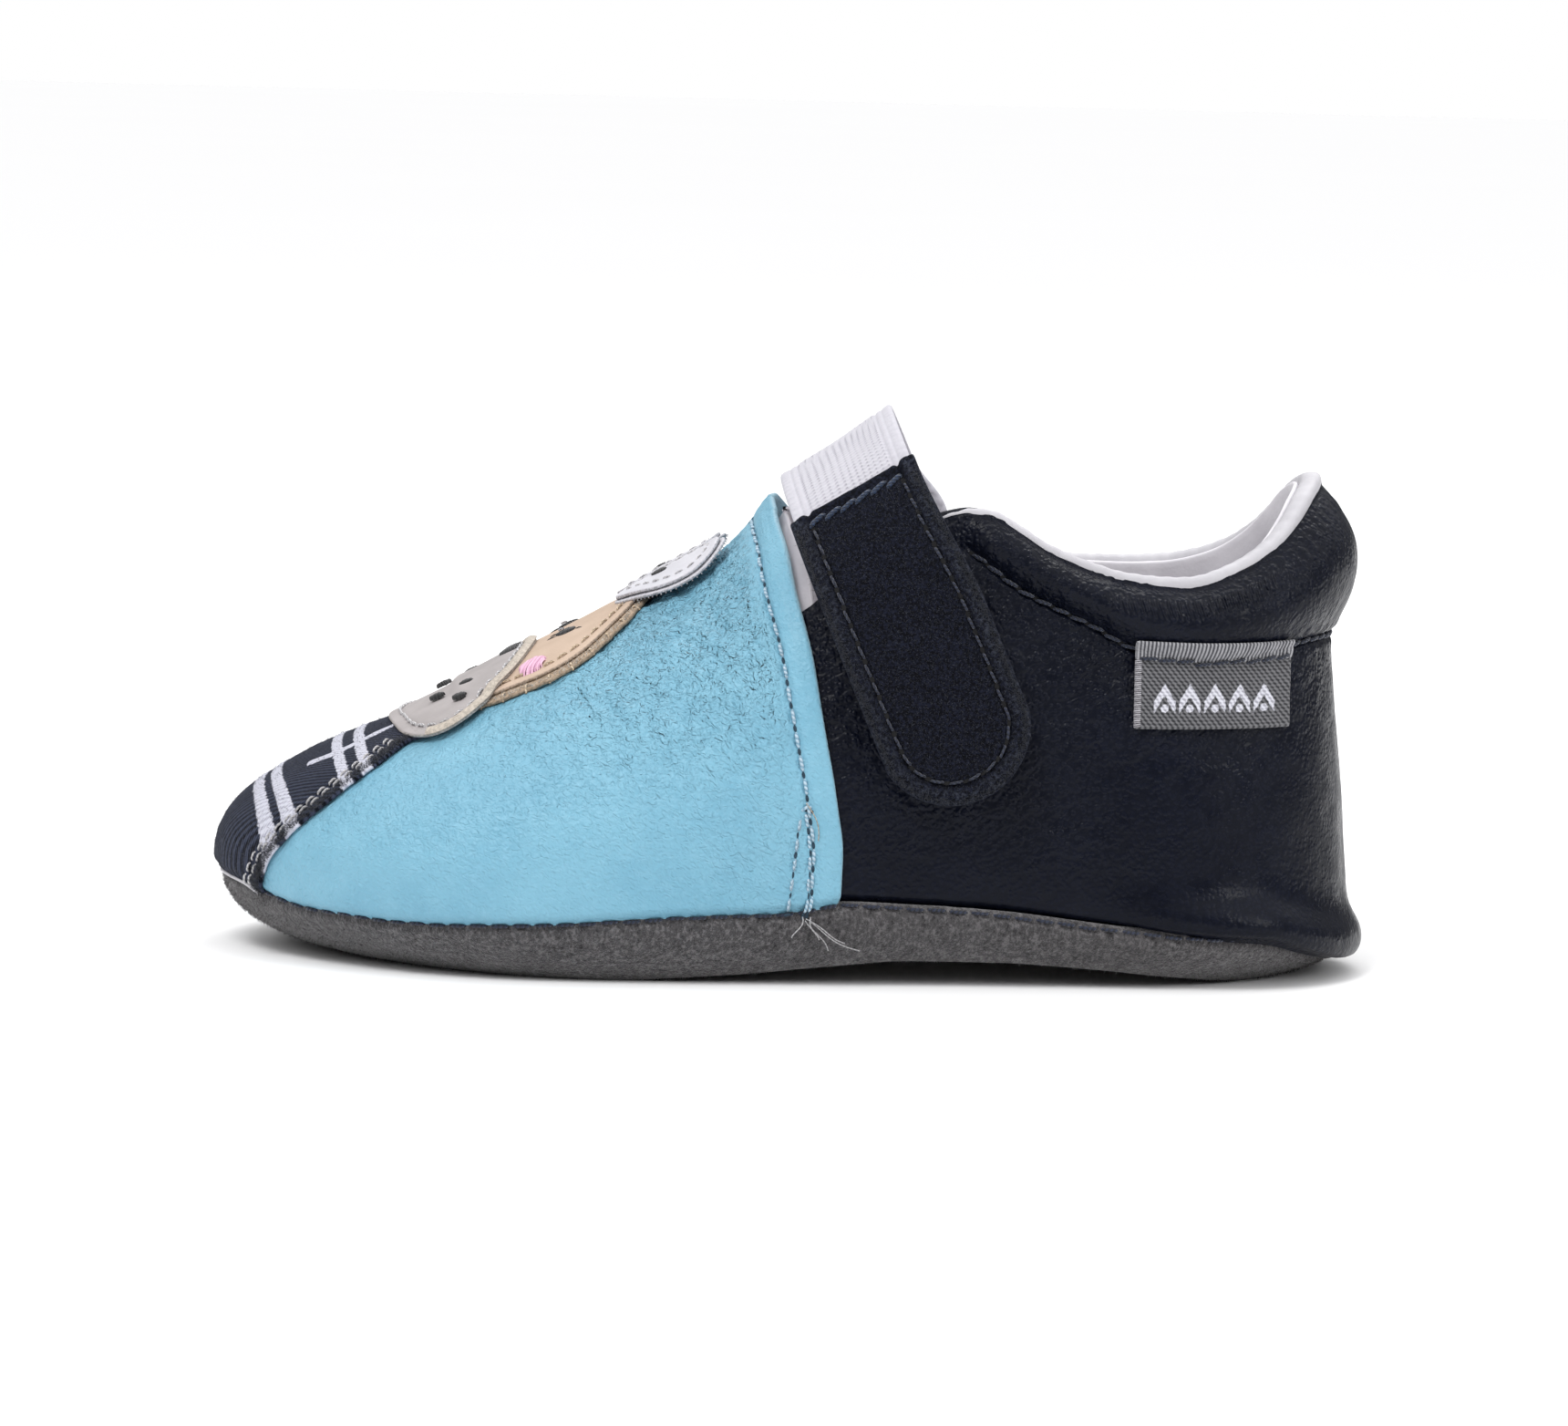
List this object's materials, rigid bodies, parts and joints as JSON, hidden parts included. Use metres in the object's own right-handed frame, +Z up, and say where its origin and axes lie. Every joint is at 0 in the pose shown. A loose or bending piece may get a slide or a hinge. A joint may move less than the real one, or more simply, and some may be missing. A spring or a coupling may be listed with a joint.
{
  "type": "baby bootie",
  "caption": "Soft-soled baby bootie with a wrap-around suede sole, leather vamp with a sewn animal face, padded ankle collar, and an elastic instep strap that closes with hook and loop.",
  "frame": {"origin": "on the ground plane under the centre of the bounding box", "axes": "+X from toe to heel, +Y towards the inner side of the foot, +Z up out of the ankle opening"},
  "size_m": [0.1406, 0.0648, 0.0665],
  "materials": {
    "sole_suede": "fuzzy grey suede",
    "foam": "open-cell foam",
    "sock": "smooth lining leather",
    "blue_leather": "soft wrinkled grain",
    "interlining": "felt interlining",
    "white_leather": "smooth lining leather",
    "navy_leather": "fine grain",
    "striped_twill": "woven twill with white stripes",
    "tan_leather": "matte",
    "beige_leather": "smooth matte",
    "grey_leather": "smooth matte",
    "pale_leather": "smooth matte",
    "black_thread": "satin stitch",
    "pink_thread": "satin stitch",
    "navy_suede": "nubuck",
    "hook_tape": "hooks",
    "loop_tape": "loops",
    "white_elastic": "ribbed knit",
    "woven_label": "twill weave"
  },
  "bodies": {
    "shoe": {"outsole": "sole_suede", "insole_foam": "foam", "sock_liner": "sock", "vamp_outer": "blue_leather", "vamp_interlining": "interlining", "vamp_lining": "white_leather", "quarter_outer": "navy_leather", "quarter_lining": "white_leather", "collar_foam": "foam", "collar_binding": "white_leather", "toe_shirt_panel": "striped_twill", "face_backing": "tan_leather", "face_panel": "beige_leather", "muzzle_patch": "grey_leather", "ear_patches": "pale_leather", "nose": "black_thread", "eyes": "black_thread", "cheeks": "pink_thread", "muzzle_spots": "black_thread", "ear_marks": "black_thread", "loop_patch": "loop_tape", "elastic_anchor": "white_elastic", "label_hem": "woven_label"},
    "strap_band": {"elastic_band": "white_elastic"},
    "strap_tab": {"strap_outer": "navy_suede", "strap_backing": "navy_leather", "hook_patch": "hook_tape"},
    "label": {"label_flap": "woven_label"}
  },
  "joints": [
    {"name": "strap_swing", "type": "hinge", "parent": "shoe", "child": "strap_band", "pos_m": [0.01039, 0.01979, 0.05028], "axis": [-0.9178, 0, -0.3971], "range_deg": [0, 110]},
    {"name": "tab_peel", "type": "hinge", "parent": "strap_band", "child": "strap_tab", "pos_m": [0.00666, -0.01933, 0.05888], "axis": [-0.9178, 0, -0.3971], "range_deg": [0, 100]},
    {"name": "label_lift", "type": "hinge", "parent": "shoe", "child": "label", "pos_m": [0.05001, -0.02037, 0.0374], "axis": [-0.9288, -0.3706, 0], "range_deg": [0, 50]}
  ]
}
